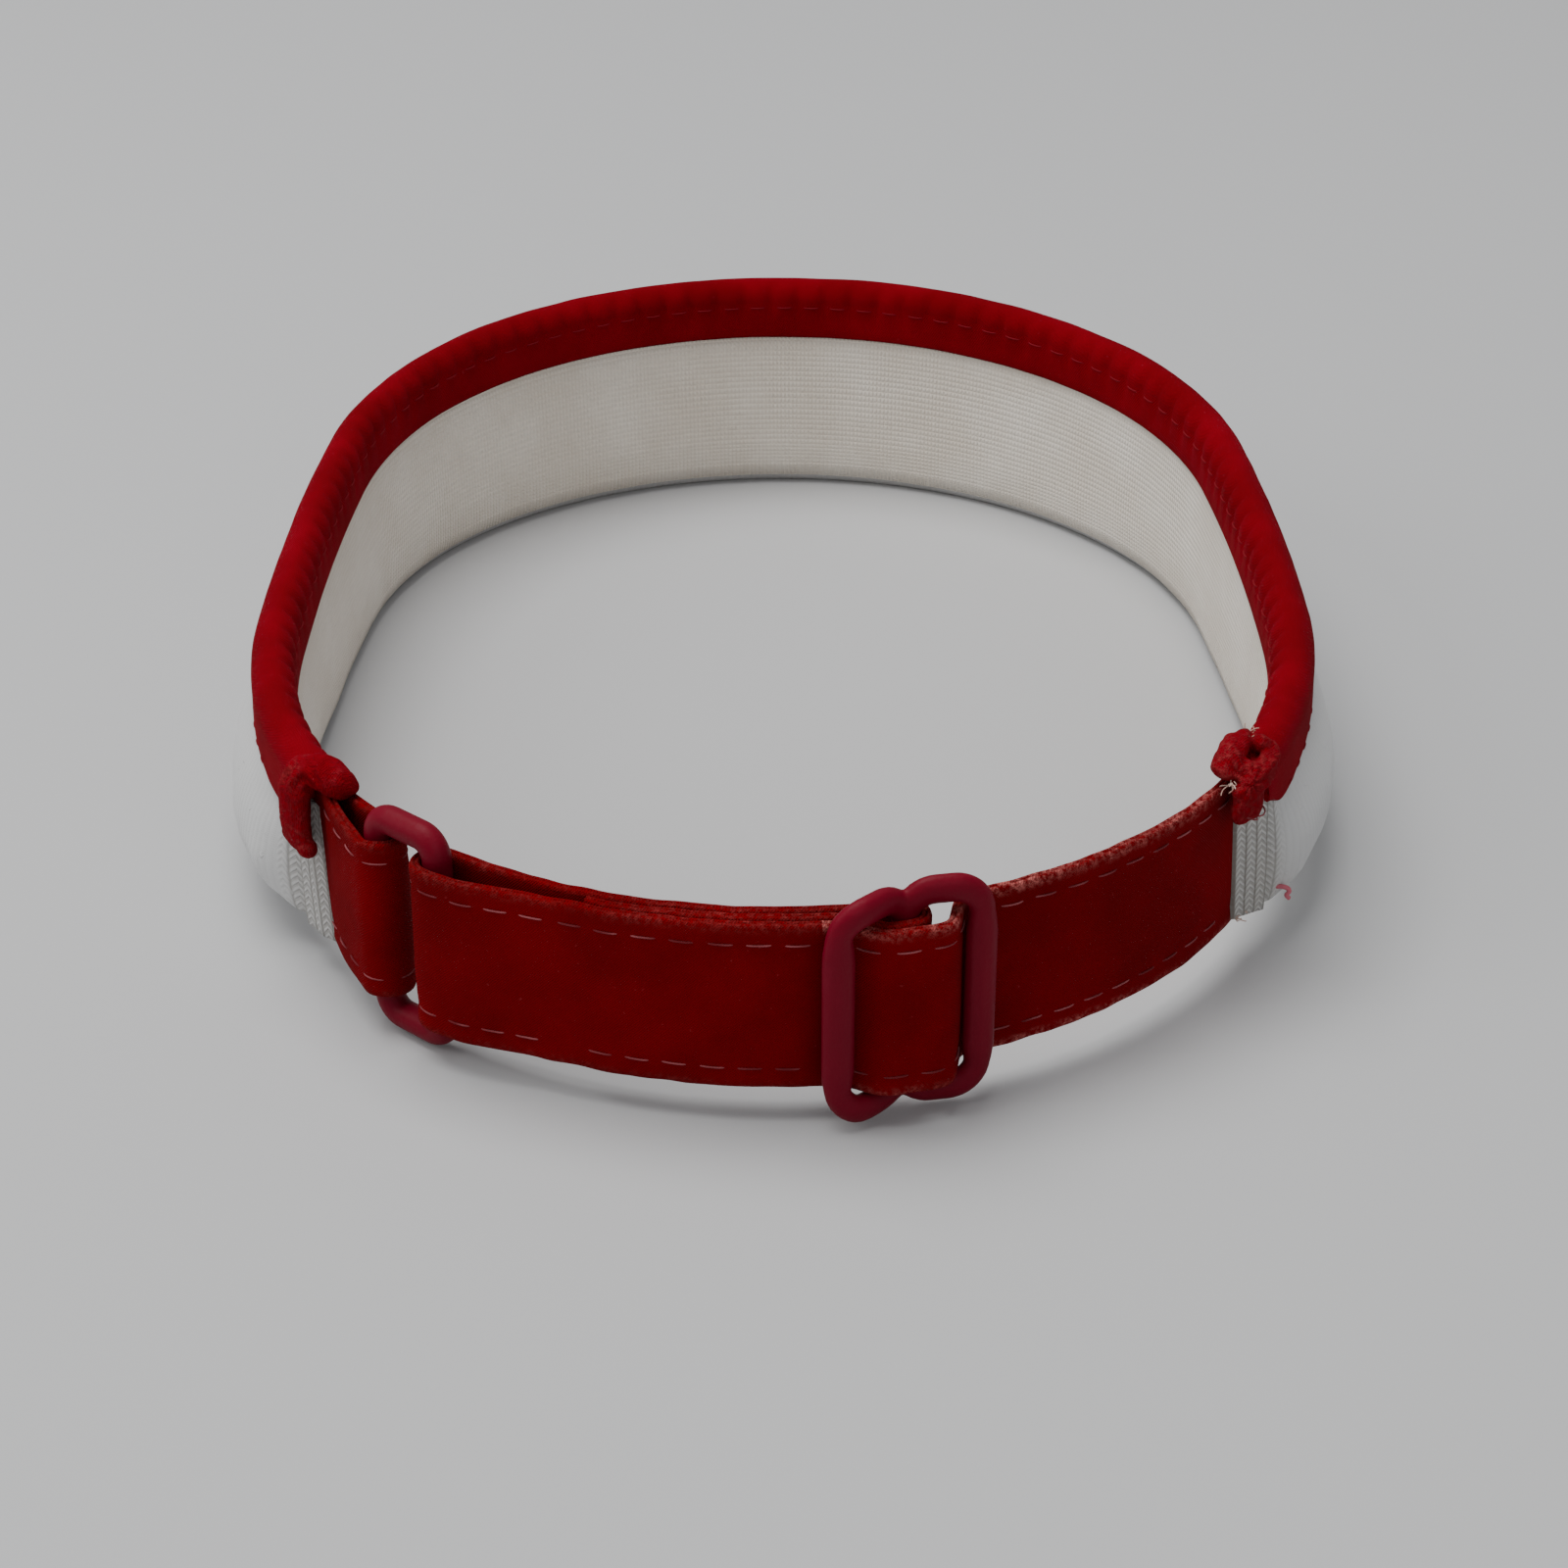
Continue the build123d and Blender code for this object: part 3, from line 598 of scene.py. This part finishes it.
def strap(name, way, squeeze=1.0):
    """A length of the two-ply band, laid on edge along the plan points."""
    reach = [0.0]
    for a, b in zip(way, way[1:]):
        reach.append(reach[-1] + (b - a).length)

    def lie(u, v):
        here = round(u * (len(way) - 1))
        a, b = way[max(0, here - 1)], way[min(len(way) - 1, here + 1)]
        side = Vector((b.y - a.y, a.x - b.x)).normalized()
        up, out = strap_profile[round(v * len(strap_profile)) % len(strap_profile)]
        return on_strap(way[here], side, half - (half - up) * squeeze, out)

    def measure(u, v):
        step = round(v * len(strap_profile))
        up = strap_profile[step % len(strap_profile)][0]
        return reach[round(u * (len(way) - 1))], (up + half) * MM

    return cloth(name, len(way) - 1, len(strap_profile), lie, measure)


strap_dark, strap_light = (0.118, 0.0008, 0.0028, 1), (0.185, 0.0013, 0.0046, 1)
strap_cotton = red_cotton("red_strap_cotton", 2 * half * MM, 0.16, strap_dark, strap_light)
worn_cotton = red_cotton("worn_strap_cotton", 2 * half * MM, 0.95, strap_dark, strap_light)
ring_left, ring_right, ring_out, fold = -44.785, -36.415, 76.05, 3.05
run_out, tail_out, outer_out = 73.0, 74.8, 76.6
split = -22.3
slider_at = 12.2

tab_way = nape_run(left_seam - 4.0, ring_left, run_out)
tab_way += turn_round(on_nape(ring_left, ring_out), fold, ring_left + 90, -180)[1:-1]
tab_end = left_seam + 1
tab_way += [
    on_nape(ring_left + (tab_end - ring_left) * i / 16, ring_out + fold - 4.25 * i / 16)
    for i in range(17)
]
tab_way += nape_run(tab_end, left_seam - 4.0, 74.85)[1:]
tab_way = eased(tab_way, passes=2)
tab = strap("ring_tab_cloth", tab_way, 0.962)
tab.data.materials.append(strap_cotton)
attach(tab, "headband")
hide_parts("ring_tab")

# from the right seam, under the slider's right bar, over its centre bar and under its left bar
over = [(11.6, 72.07), (8.2, 72.6), (5.4, 79.6), (-3.44, 79.9), (-8.32, 76.22)]
right_way = nape_run(right_seam + 4.0, slider_at + 9.3, run_out)
right_way += [beside(slider_at, u, n) for u, n in over]
right_way += nape_run(slider_at - 7.6, slider_at - 8.2, outer_out)
right_way = eased(right_way, passes=10)
right_strap = strap("strap_over_slider", right_way)
right_strap.data.materials.append(worn_cotton)
on_nape(right_seam + 4.0, run_out).to_3d()
on_nape(23.7, run_out).to_3d()
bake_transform(right_strap)
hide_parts("strap_anchor", "strap_right_run", "strap_threaded_loop")

# from the slider's left bar towards the ring, then round the ring's right bar and back inside
outer_way = eased(nape_run(slider_at - 8.2, split, outer_out))
outer_strap = strap("strap_outer", outer_way)
outer_strap.data.materials.append(strap_cotton)
on_nape(0.7, outer_out).to_3d()
on_nape(split, outer_out).to_3d()
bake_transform(outer_strap)
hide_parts("strap_outer_run")

turn_way = nape_run(split, ring_right, outer_out, ring_out + fold)
turn_way += turn_round(on_nape(ring_right, ring_out), fold, ring_right - 90, -180)[1:-1]
turn_way += nape_run(ring_right, split, run_out)
turn_way = eased(turn_way, passes=2)
ring_strap = strap("strap_round_ring", turn_way)
ring_strap.data.materials.append(strap_cotton)
on_nape(split, 75.0).to_3d()
on_nape(-34.45, 75.0).to_3d()
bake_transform(ring_strap)
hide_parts("strap_outer_ring_end", "strap_inner_ring_end", "strap_ring_fold")

inner_way = eased(nape_run(split, slider_at, run_out))
inner_strap = strap("strap_inner", inner_way)
inner_strap.data.materials.append(strap_cotton)
on_nape(split, run_out).to_3d()
on_nape(0.7, run_out).to_3d()
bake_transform(inner_strap)
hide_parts("strap_inner_run")

tail_way = [on_nape(slider_at, run_out), beside(slider_at, 0.4, run_out)]
a = slider_at
tail_way += turn_round(beside(slider_at, 0.4, 75.55), 2.55, a + 90, -180)[1:-1]
tail_way += [beside(slider_at, u, n) for u, n in ((0.4, 78.1), (-2.85, 78.1), (-7.73, 74.5))]
tail_way += nape_run(slider_at - 8.9, -19.6, tail_out)
tail_way = eased(tail_way, passes=4)
tail = strap("strap_tail", tail_way)
tail.data.materials.append(strap_cotton)
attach(tail, "slider_group")
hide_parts("strap_bar_loop")

# ---------------------------------------------------------------- turned-under binding ends
# At both seams the binding's end is folded under and bunched: on the left it hangs as a rounded
# fold and curls over the tab, on the right it is pinched into a knob with a frayed, open end.


def melted(name, bm, grain, passes):
    """Overlapping soft shapes made into one smooth skin."""
    rough = piece_from("rough_" + name, bm)
    skin = rough.modifiers.new("skin", "REMESH")
    skin.mode = "VOXEL"
    skin.voxel_size = grain
    calm = rough.modifiers.new("calm", "SMOOTH")
    calm.factor = 0.5
    calm.iterations = passes
    bm = bmesh.new()
    bm.from_mesh(rough.evaluated_get(bpy.context.evaluated_depsgraph_get()).to_mesh())
    bpy.data.objects.remove(rough)
    return piece_from(name, bm)


def at_seam(angle, out, up):
    """Point at this angle round the nape, out from the head and up, in millimetres."""
    spot = on_nape(angle, head_radius / MM + out).to_3d()
    spot.z = up * MM
    return spot


def gathered(name, lobes, pleats):
    """Folds of cloth that melt into each other; each is a run of ovals
    (angle, out, up, half width, half depth, half height). pleats gives how far they stand out."""
    bm = bmesh.new()
    for keys in lobes:
        for one, other in zip(keys, keys[1:]):
            for i in range(7):
                angle, out, up, wide, deep, tall = [p + (q - p) * i / 6 for p, q in zip(one, other)]
                bmesh.ops.create_icosphere(
                    bm, subdivisions=2, radius=1,
                    matrix=Matrix.Translation(at_seam(angle, out, up))
                    @ Matrix.Rotation(radians(angle), 4, "Z")
                    @ Matrix.Diagonal((wide * MM, deep * MM, tall * MM, 1)),
                )
    piece = melted(name, bm, 0.26 * MM, 5)
    away = [v.normal.copy() for v in piece.data.vertices]
    for vert, normal in zip(piece.data.vertices, away):
        vert.co += normal * pleats(vert.co) * MM
    return piece


fold_cotton = red_cotton("folded_bias_cotton", 0.036, 0.20, bias_dark, bias_light, by_threads=False)
curl_middle = at_seam(-56.6, 5.5, 29.6)


def left_pleats(co):
    """Rings of the rolled cloth round the curl's middle, and small creases."""
    far = (co - curl_middle).length / MM
    rings = sin(2 * pi * far / 1.25) * 0.20 * ease(co.z, 30 * MM, 31.5 * MM)
    return rings + ripple(co.x, co.y, co.z, 1.6 * MM) * 0.16


left_end = gathered("left_binding_end", [
    [(-59.6, 8.3, 21.9, 1.6, 1.4, 1.5), (-56.2, 8.1, 21.4, 1.6, 1.4, 1.5)],
    [
        (-58.1, 8.3, 22.4, 3.4, 1.6, 1.8), (-58.3, 8.4, 24.5, 3.6, 1.9, 2.0),
        (-58.4, 8.1, 29.0, 3.4, 2.0, 2.4), (-58.3, 6.6, 31.8, 2.8, 2.4, 2.0),
    ],
    [
        (-58.3, 6.0, 31.8, 2.4, 2.6, 2.1), (-56.7, 5.2, 32.5, 2.5, 2.6, 2.4),
        (-55.0, 4.7, 32.6, 2.5, 2.6, 2.5), (-53.6, 4.3, 32.0, 2.0, 2.4, 2.2),
        (-52.9, 3.9, 31.4, 1.3, 2.1, 1.4),
    ],
], left_pleats)
left_end.data.materials.append(fold_cotton)
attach(left_end, "headband")
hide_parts("binding_end_left", "binding_fold_left")


def right_pleats(co):
    """Puckers that run into the pinched middle of the knob."""
    turn = atan2(co.z - 32.0 * MM, co.x - at_seam(58.4, 5, 32).x)
    far = (co - at_seam(58.4, 5.5, 32.0)).length / MM
    return sin(turn * 9) * 0.16 * ease(far, 1.0, 2.5) + ripple(co.x, co.y, co.z, 1.3 * MM) * 0.22


right_end = gathered("right_binding_end", [
    [
        (56.5, 6.5, 27.2, 3.5, 1.7, 2.3), (56.8, 6.6, 30.2, 4.0, 1.9, 2.6),
        (58.4, 7.1, 31.2, 3.0, 1.5, 2.2), (60.8, 6.7, 31.6, 2.6, 1.6, 2.5),
    ],
    [
        (55.8, 3.3, 32.9, 1.9, 2.1, 1.7), (57.4, 2.9, 33.9, 2.3, 2.2, 2.0),
        (59.2, 2.8, 34.3, 2.2, 2.0, 1.9), (60.6, 3.0, 34.2, 1.8, 1.8, 1.7),
    ],
    [(56.4, 4.4, 32.2, 2.0, 1.8, 1.5), (57.4, 5.8, 32.4, 1.8, 1.6, 1.3)],
    [(60.8, 4.6, 34.4, 1.2, 1.5, 1.2), (61.5, 6.2, 33.2, 1.5, 1.5, 1.5)],
    [(58.9, 5.0, 31.2, 2.4, 2.2, 1.6), (59.4, 5.0, 31.4, 2.2, 2.0, 1.4)],
], right_pleats)
right_end.data.materials.append(fold_cotton)
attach(right_end, "headband")
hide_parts("binding_end_right", "binding_fold_right")

# ---------------------------------------------------------------- topstitching and loose threads
# Pale pink cotton runs in two rows along the strap and the tab, a running stitch of about 4 mm
# in every 5 mm. The binding is stitched through, and fibres have worked loose on the edges.
sewing_cotton, sewing_shader, dye = finish_of(
    "pink_sewing_cotton", {"Specular IOR Level": 0.1, "Sheen Weight": 0.1}
)
spot = dye.node("ShaderNodeTexCoord", output=3)
twist = dye.speckle(spot, 2500.0, 2.0)
tone = dye.speckle(spot, 120.0, 2.0).between(0.35, 0.65)
pinks = tone.blend((0.15, 0.012, 0.017, 1), (0.34, 0.085, 0.095, 1))
surface(dye, sewing_shader, pinks, 0.8 + twist * 0.1, twist, 0.00005)
red_sewing, red_sewing_shader, dye = finish_of("red_sewing_cotton", {"Specular IOR Level": 0.1})
spot = dye.node("ShaderNodeTexCoord", output=3)
twist = dye.speckle(spot, 2500.0, 2.0)
reds = twist.blend((0.16, 0.003, 0.008, 1), (0.24, 0.012, 0.020, 1))
surface(dye, red_sewing_shader, reds, 0.8 + twist * 0.1, twist, 0.00005)
loose_cotton, loose_shader, dye = finish_of("loose_fibres", {"Specular IOR Level": 0.1})
spot = dye.node("ShaderNodeTexCoord", output=3)
tone = dye.speckle(spot, 300.0, 2.0).between(0.35, 0.65)
creams = tone.blend((0.46, 0.22, 0.17, 1), (0.70, 0.55, 0.46, 1))
surface(dye, loose_shader, creams, 0.85 + tone * 0.05, tone, 0.00003)


def threads_of(name, lines, thick, material):
    """Short lengths of thread, each drawn along its own few points."""
    curve = bpy.data.curves.new(name, "CURVE")
    curve.dimensions = "3D"
    curve.bevel_depth = thick / 2
    curve.bevel_resolution = 1
    curve.resolution_u = 3
    curve.use_fill_caps = True
    for line in lines:
        run = curve.splines.new("NURBS")
        run.points.add(len(line) - 1)
        for point, spot in zip(run.points, line):
            point.co = (*spot, 1)
        run.order_u = 3
        run.use_endpoint_u = True
    drawn = bpy.data.objects.new(name + "_line", curve)
    bpy.context.scene.collection.objects.link(drawn)
    bm = bmesh.new()
    bm.from_mesh(bpy.data.meshes.new_from_object(drawn))
    bpy.data.objects.remove(drawn)
    piece = piece_from(name, bm)
    piece.data.materials.append(material)
    return piece


def walk(way, far):
    """Plan point this far along a way, and the direction to its outer side."""
    for a, b in zip(way, way[1:]):
        step = (b - a).length
        if far <= step:
            break
        far -= step
    side = Vector((b.y - a.y, a.x - b.x)).normalized()
    return a.lerp(b, min(1.0, far / step)), side


def topstitch(name, way, first, last, faces=(1, -1), squeeze=1.0):
    """Both rows of stitches on the open faces of a length of strap."""
    length = sum((b - a).length for a, b in zip(way, way[1:]))
    stitch_shape = ((0.0, -0.30), (0.12, 0.10), (0.5, 0.16), (0.88, 0.10), (1.0, -0.30))
    lines = []
    for height in (half - row, row - half):
        for face in faces:
            far = first + (0.4 if height > 0 else 1.7) * MM + (0.8 * MM if face < 0 else 0)
            while far + 4 * MM < length - last:
                line = []
                for t, sunk in stitch_shape:
                    spot, side = walk(way, far + t * 3.8 * MM)
                    up = half - (half - height) * squeeze + 0.10 * ripple(far, height, t, 9 * MM)
                    line.append(on_strap(spot, side, up, face * (0.64 + sunk)))
                lines.append(line)
                far += 5.0 * MM + 0.3 * MM * ripple(far, 1, face, 7 * MM)
    return threads_of(name, lines, 0.23 * MM, sewing_cotton)


stitches = topstitch("tab_topstitch", tab_way, 5 * MM, 5 * MM, (-1,), 0.962)
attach(stitches, "headband")
stitches = topstitch("right_run_topstitch", right_way, 5 * MM, 0.5 * MM)
on_nape(right_seam + 4.0, run_out).to_3d()
on_nape(23.7, run_out).to_3d()
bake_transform(stitches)
stitches = topstitch("outer_run_topstitch", outer_way, 0.0, 0.0, (-1,))
on_nape(0.7, outer_out).to_3d()
on_nape(split, outer_out).to_3d()
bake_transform(stitches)
stitches = topstitch("ring_end_topstitch", turn_way, 0.2 * MM, 0.2 * MM, (-1,))
on_nape(split, 75.0).to_3d()
on_nape(-34.45, 75.0).to_3d()
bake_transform(stitches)
stitches = topstitch("inner_run_topstitch", inner_way, 0.0, 0.0, (-1,))
on_nape(split, run_out).to_3d()
on_nape(0.7, run_out).to_3d()
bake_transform(stitches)

# the binding's inner and outer rows, and the row across each turned-under fold
lines = []
step = turn_pitch
for i in range(2, int((band_length - 8 * MM) / step)):
    for out, up in ((-3.2, -0.9), (3.2, -5.9)):
        line = []
        for t, sunk in ((0.0, -0.4), (0.15, 0.06), (0.5, 0.13), (0.85, 0.06), (1.0, -0.4)):
            s = (i + 0.5 + (t - 0.5) * 0.62) * step
            reach = roll_out + (out + (sunk if out > 0 else -sunk)) * MM
            x, y = plan(s, reach)
            line.append(Vector((x, y, roll_height(y) + up * MM)))
        lines.append(line)
seam_thread = threads_of("binding_stitches", lines, 0.24 * MM, red_sewing)
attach(seam_thread, "headband")
lines = []
for middle, out, drop in ((-57.8, 9.65, 22.6), (56.4, 8.75, 26.5)):
    for part in (-1, 0):
        line = []
        for t in (0.0, 0.25, 0.5, 0.75, 1.0):
            across = (part + t * 0.82) * 1.8
            reach = out + (0.1 if 0 < t < 1 else -0.4) - 0.13 * across**2
            line.append(at_seam(middle + across, reach, drop + 0.25 * across**2))
        lines.append(line)
fold_thread = threads_of("fold_stitches", lines, 0.22 * MM, sewing_cotton)
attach(fold_thread, "headband")


def tuft(middle, count, reach, seed, lean=(0, 0, 0)):
    """Loose fibres that curl away from one spot."""
    lines = []
    for i in range(count):
        aim = [noise.noise(Vector((seed + i * 1.7, axis * 3.1, 0.5))) for axis in range(3)]
        aim = (Vector(aim).normalized() + Vector(lean)).normalized()
        bend = [noise.noise(Vector((seed + i * 2.3, 7 + axis * 2.9, 1.5))) for axis in range(3)]
        bend = Vector(bend)
        root = middle + aim.cross(Vector((0.3, 0.5, 0.8))) * reach * 0.3
        bends = (aim * 0.5, (aim + bend) * 0.8, aim * 0.7 + bend * 1.6)
        lines.append([root] + [root + part * reach for part in bends])
    return lines


# round the knob's open end, then at the foot of each seam
frays = tuft(at_seam(54.9, 4.9, 31.2), 9, 1.6 * MM, 3, (0.2, -0.4, 0.1))
frays += tuft(at_seam(56.4, 6.4, 30.6), 7, 1.4 * MM, 9, (0, -0.4, 0))
frays += tuft(at_seam(60.8, 3.4, 35.0), 9, 1.3 * MM, 21, (0, 0, 0.3))
downwards = (0, -0.2, -0.4)
frays += tuft(at_seam(60.0, 4.6, 6.2), 8, 0.9 * MM, 33, downwards)
frays += tuft(at_seam(61.2, 5.0, 6.4), 6, 0.8 * MM, 41, downwards)
frays += tuft(at_seam(-57.6, 5.0, 6.4), 5, 0.8 * MM, 47, downwards)
fibres = threads_of("loose_fibres", frays, 0.15 * MM, loose_cotton)
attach(fibres, "headband")
pink_cotton, pink_shader, dye = finish_of("pink_thread", {"Specular IOR Level": 0.1})
spot = dye.node("ShaderNodeTexCoord", output=3)
twist = dye.speckle(spot, 2500.0, 2.0)
pinks = twist.blend((0.50, 0.11, 0.15, 1), (0.64, 0.20, 0.24, 1))
surface(dye, pink_shader, pinks, 0.85 + twist * 0.05, twist, 0.00005)
snag = at_seam(65.6, 7.4, 8.2)
crinkle = ((1.5, -0.5, 0.3), (2.1, -0.7, -0.5), (1.3, -0.8, -1.0), (2.0, -0.7, -1.6))
snagged = [snag] + [snag + Vector(bend) * MM for bend in crinkle]
pink = threads_of("pink_thread_end", [snagged], 0.7 * MM, pink_cotton)
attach(pink, "headband")

# ---------------------------------------------------------------- raspberry slider and ring
# Both are moulded in raspberry-coloured plastic with a satin face and soft edges: a square ring
# of round bar, and a figure-eight slider whose middle bar sits back from its two side bars.
plastic, plastic_shader, dye = finish_of("raspberry_plastic", {"Specular IOR Level": 0.10})
spot = dye.node("ShaderNodeTexCoord", output=3)
pebble = dye.speckle(spot, 900.0, 3.0)
scuff = dye.speckle(spot, 220.0, 5.0, 0.7).between(0.55, 0.75)
tone = dye.speckle(spot, 90.0, 2.0).blend((0.135, 0.0012, 0.0100, 1), (0.180, 0.0020, 0.0150, 1))
scuffed = (scuff * 0.2).blend(tone, (0.24, 0.020, 0.040, 1))
surface(dye, plastic_shader, scuffed, 0.46 + scuff * 0.2, pebble, 0.00008)

ring = bpy.data.objects["adjuster_ring"]
for slot in ring.material_slots:
    slot.material = plastic

# the slider: two round-cornered loops of bar that share the middle bar. The left one rests on the
# upper layer of strap and the right one leans down to the lower layer
corner, gap = 3.9, 0.6  # radius of each loop's corners, and the step from oval to oval
bm = bmesh.new()
for side, far in ((-1, 5.6), (1, 6.3)):
    outline = []
    tall = 11.4 if side < 0 else 11.8
    corners = ((far, tall, 0), (corner, tall, 90), (corner, -11.2, 180), (far, -11.2, 270))
    for corner_u, corner_z, start in corners:
        turn = [radians(start + 10 * i) for i in range(10)]
        outline += [(corner_u + corner * cos(t), corner_z + corner * sin(t)) for t in turn]
    outline.append(outline[0])
    for (u1, z1), (u2, z2) in zip(outline, outline[1:]):
        length = hypot(u2 - u1, z2 - z1)
        for i in range(max(1, round(length / gap))):
            t = i * gap / max(gap, length)
            u, z = u1 + (u2 - u1) * t, z1 + (z2 - z1) * t
            upright = ease(12.5 - abs(z), 0, 4)
            wide = 1.85 + 0.45 * upright * ease(u, 4, 9)
            lean = 3.3 * ease(u, 0.3, 8.0) if side < 0 else 0.15 * ease(u, 2, 8)
            middle = beside(slider_at, side * u, 75.85 + lean).to_3d()
            middle.z = strap_middle + z * MM
            bmesh.ops.create_icosphere(
                bm, subdivisions=2, radius=1,
                matrix=Matrix.Translation(middle) @ Matrix.Rotation(radians(slider_at), 4, "Z")
                @ Matrix.Diagonal((wide * MM, 1.5 * MM, (2.15 + 0.15 * upright) * MM, 1)),
            )
slider = melted("figure_eight_slider", bm, 0.30 * MM, 6)
slider.data.materials.append(plastic)
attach(slider, "slider_group")
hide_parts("slider")
